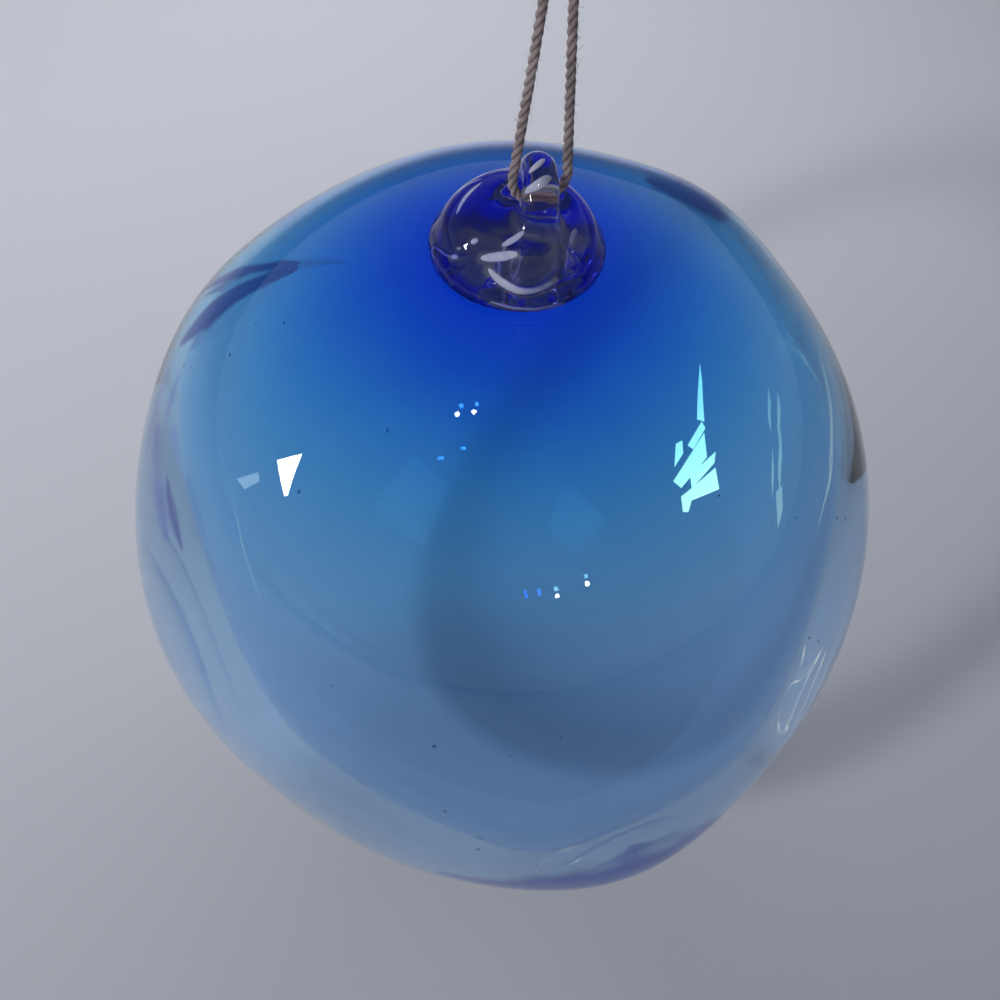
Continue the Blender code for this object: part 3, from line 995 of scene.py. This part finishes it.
def air_film_highlight_material():
    """Pearl-pale colour on the air films: painted highlight for the shine of air caught between two layers of
    glass.
    """
    material, tree, shader = new_material("air_film_painted_highlight")
    cloud = noise(tree, object_place(tree), scale=900.0, detail=3.0)
    pearl = mix_colour(tree, cloud, (0.50, 0.54, 0.74), (1.0, 1.0, 1.0))
    feed_all(tree, shader, Base_Color=pearl, Roughness=0.18)
    return material


hanger_glass = glass_material("cobalt_hanger_glass", hanger_colour, (None, (0.34, 0.38, 0.62)), 0.01)
glass_hanger.data.materials.append(hanger_glass)
glass_hanger.data.materials.append(air_film_highlight_material())
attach(glass_hanger, "root")
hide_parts("hanger_knob")

# %% [markdown]
# ## A pale studio
#
# The ball hangs just above a plain pale floor. A soft box at the front left throws the shadow whose
# edge shows through the ball, and two soft washes keep the floor pale behind it and at its left. Four
# small lamps light nothing and only mirror in the glass, where they give the pairs of bright dots.

# %% Lay the floor
FLOOR_GAP = 0.008
FLOOR_REACH = 3.0
floor_height = BALL_CENTRE.z - BALL_RADIUS - FLOOR_GAP
floor_mesh = bpy.data.meshes.new("studio_floor")
shape = bmesh.new()
bmesh.ops.create_grid(shape, x_segments=8, y_segments=8, size=FLOOR_REACH)
bmesh.ops.translate(shape, vec=(0.0, 0.0, floor_height), verts=shape.verts)
shape.to_mesh(floor_mesh)
shape.free()
floor = bpy.data.objects.new("studio_floor", floor_mesh)
scene.collection.objects.link(floor)
paint, tree, cover = new_material("pale_floor")
clouds = noise(tree, object_place(tree), scale=9.0)
paint_colour = mix_colour(tree, clouds, (0.60, 0.62, 0.68), (0.66, 0.68, 0.73))
feed_all(tree, cover, Base_Color=paint_colour, Roughness=0.85, Specular_IOR_Level=0.1)
floor_mesh.materials.append(paint)
print("the floor lies", round(1000 * FLOOR_GAP), "mm under the ball")


# %% Set the lamps
def soft_lamp(name, place, aim, size, power, colour=(1.0, 1.0, 1.0), seen_in_glass=False):
    """A square lamp that only its light gives away, or only its mirror image in the glass."""
    data = bpy.data.lights.new(name, "AREA")
    data.size = size
    data.energy = power
    data.color = colour
    made = bpy.data.objects.new(name, data)
    scene.collection.objects.link(made)
    made.location = place
    made.rotation_euler = (place - aim).to_track_quat("Z", "Y").to_euler()
    made.visible_camera = False
    made.visible_glossy = seen_in_glass
    made.visible_transmission = seen_in_glass
    made.visible_diffuse = not seen_in_glass


soft_box_at = BALL_CENTRE + direction(-128.2, 32.0) * 1.1
soft_lamp("soft_box", soft_box_at, BALL_CENTRE, 0.10, 3.9, (1.0, 0.98, 0.97))
wash_at = Vector((-0.03, 0.20, floor_height + 0.16))
wash_aim = Vector((0.0, 0.11, floor_height))
soft_lamp("backdrop_wash", wash_at, wash_aim, 0.22, 0.24, (1.0, 0.985, 0.99))
left_at = Vector((-0.22, 0.03, floor_height + 0.17))
left_aim = Vector((-0.17, 0.03, floor_height))
soft_lamp("left_wash", left_at, left_aim, 0.22, 0.17)
# Azimuth, elevation and power of each ceiling lamp.
CEILING_LAMPS = ((-146.0, 71.0, 0.2), (-138.0, 75.0, 0.2), (-60.0, 29.0, 0.25), (-70.0, 27.5, 0.1))
for azimuth, elevation, power in CEILING_LAMPS:
    lamp_at = BALL_CENTRE + direction(azimuth, elevation) * 1.5
    soft_lamp("ceiling_lamp", lamp_at, BALL_CENTRE, 0.03, power, seen_in_glass=True)
print(len(bpy.data.lights), "lamps are set")


# %% [markdown]
# ## Windows that only the glass sees
#
# A glass ball mirrors every window of the room. A flat panel that glows, but that neither the camera
# nor the floor can see, gives such a mirror image and changes nothing else. Its corners are named by
# the directions in which they lie from the ball, far enough away to look flat.

# %% Hang the window-shaped panels
def glowing(name, colour, strength):
    """A material that glows; as lamps such panels would only slow the render down."""
    material, tree, shader = new_material(name)
    tree.nodes.remove(shader)
    lit = add_node(tree, "ShaderNodeEmission", (*colour, 1.0), strength)
    material.cycles.emission_sampling = "NONE"
    feed_all(tree, tree.nodes["Material Output"], Surface=lit.outputs[0])
    return material


def glowing_panel(name, faces, material, mirrored=True, through=True):
    """Faces of four corners each, seen only in mirror images, only through the glass, or in both."""
    mesh = bpy.data.meshes.new(name)
    corners = [tuple(corner) for face in faces for corner in face]
    mesh.from_pydata(corners, [], [tuple(range(at, at + 4)) for at in range(0, len(corners), 4)])
    mesh.materials.append(material)
    made = bpy.data.objects.new(name, mesh)
    scene.collection.objects.link(made)
    made.visible_camera = False
    made.visible_diffuse = False
    made.visible_glossy = mirrored
    made.visible_transmission = through
    made.visible_shadow = False


def far_corners(distance, *angles):
    return [BALL_CENTRE + direction(*corner) * distance for corner in angles]


window = far_corners(1.2, (-173.5, 19.5), (-170.0, 27.5), (-163.3, 18.6), (-163.8, 17.6))
side_window = far_corners(1.2, (-178.2, 5.1), (-174.8, 12.5), (-172.4, 12.3), (-174.4, 6.4))
tall_window = far_corners(1.1, (-141.0, 34.0), (-141.0, 53.0), (-117.0, 53.0), (-117.0, 34.0))
glowing_panel("window_panel", [window], glowing("window_glow", (0.95, 0.98, 1.0), 40.0), through=False)
glowing_panel("side_panel", [side_window], glowing("side_glow", (0.75, 0.95, 1.0), 4.0), through=False)
glowing_panel("tall_panel", [tall_window], glowing("tall_glow", (0.95, 0.98, 1.0), 0.8), mirrored=False)

# %% [markdown]
# ## Light marks under the ball
#
# Sun through a window and through the glass draws sharp bright marks on the floor beside the ball, and
# the glass tints them as they are seen through it. They belong to the floor, so they are part of the
# stage: a few flat slats with gaps between them and a feather of thin slivers.

# %% Draw the light marks on the floor
# Corners across and away, in millimetres.
WINDOW_MARKS = (
    ((33.3, 67.0), (33.5, 79.7), (34.1, 75.7), (34.7, 66.7)),
    ((31.5, 60.9), (34.2, 66.7), (34.9, 65.2), (32.6, 60.1)),
    ((29.1, 55.7), (29.3, 61.0), (30.5, 61.9), (30.7, 59.0)),
    ((28.9, 52.6), (34.7, 64.2), (35.3, 58.7), (30.4, 51.3)),
    ((32.0, 54.4), (37.0, 60.1), (36.8, 57.6), (32.4, 51.4)),
    ((30.4, 49.4), (37.0, 56.6), (37.8, 51.9), (32.4, 48.8)),
    ((30.4, 49.4), (32.4, 48.8), (31.8, 46.2), (30.8, 46.1)),
)
FEATHER_MARKS = (
    ((49.0, 73.5), (50.2, 70.0), (51.0, 62.0), (50.0, 66.0)),
    ((50.8, 66.0), (52.0, 60.0), (52.2, 50.0), (51.2, 57.0)),
    ((51.0, 52.0), (52.6, 53.5), (53.2, 48.0), (52.0, 43.5)),
    ((47.0, 74.5), (48.0, 71.5), (48.8, 65.0), (48.0, 67.5)),
    ((49.4, 62.0), (50.2, 57.0), (50.2, 50.0), (49.6, 55.0)),
)
MARK_LIFT = 0.0002
for label, marks, colour, strength in (
    ("window_marks", WINDOW_MARKS, (1.0, 0.60, 0.28), 4.5),
    ("feather_marks", FEATHER_MARKS, (1.0, 0.75, 0.55), 1.1),
):
    faces = [[(0.001 * x, 0.001 * y, floor_height + MARK_LIFT) for x, y in mark] for mark in marks]
    glowing_panel(label, faces, glowing(label, colour, strength))
    print(label, "has", len(faces), "marks")

# %% Light the room round it
world = bpy.data.worlds.new("pale_room")
world.use_nodes = True
tree = world.node_tree
towards = add_node(tree, "ShaderNodeTexCoord").outputs["Generated"]
rise = add_node(tree, "ShaderNodeSeparateXYZ", towards).outputs["Z"]
# The walls are pale at the floor and dark overhead.
ROOM_TONES = (
    (0.0, (0.24, 0.26, 0.29)),
    (0.12, (0.21, 0.225, 0.26)),
    (0.35, (0.12, 0.13, 0.16)),
    (0.75, (0.04, 0.05, 0.08)),
)
feed(tree, tree.nodes["Background"].inputs[0], colour_ramp(tree, rise, ROOM_TONES))
scene.world = world
scene.view_settings.view_transform = "Standard"
# Light that runs along inside the wall needs many bounces before it comes out at the rim.
WALL_BOUNCES = 32
scene.cycles.max_bounces = WALL_BOUNCES
scene.cycles.transmission_bounces = WALL_BOUNCES
scene.cycles.glossy_bounces = WALL_BOUNCES
scene.cycles.diffuse_bounces = 2
scene.cycles.transparent_max_bounces = 12
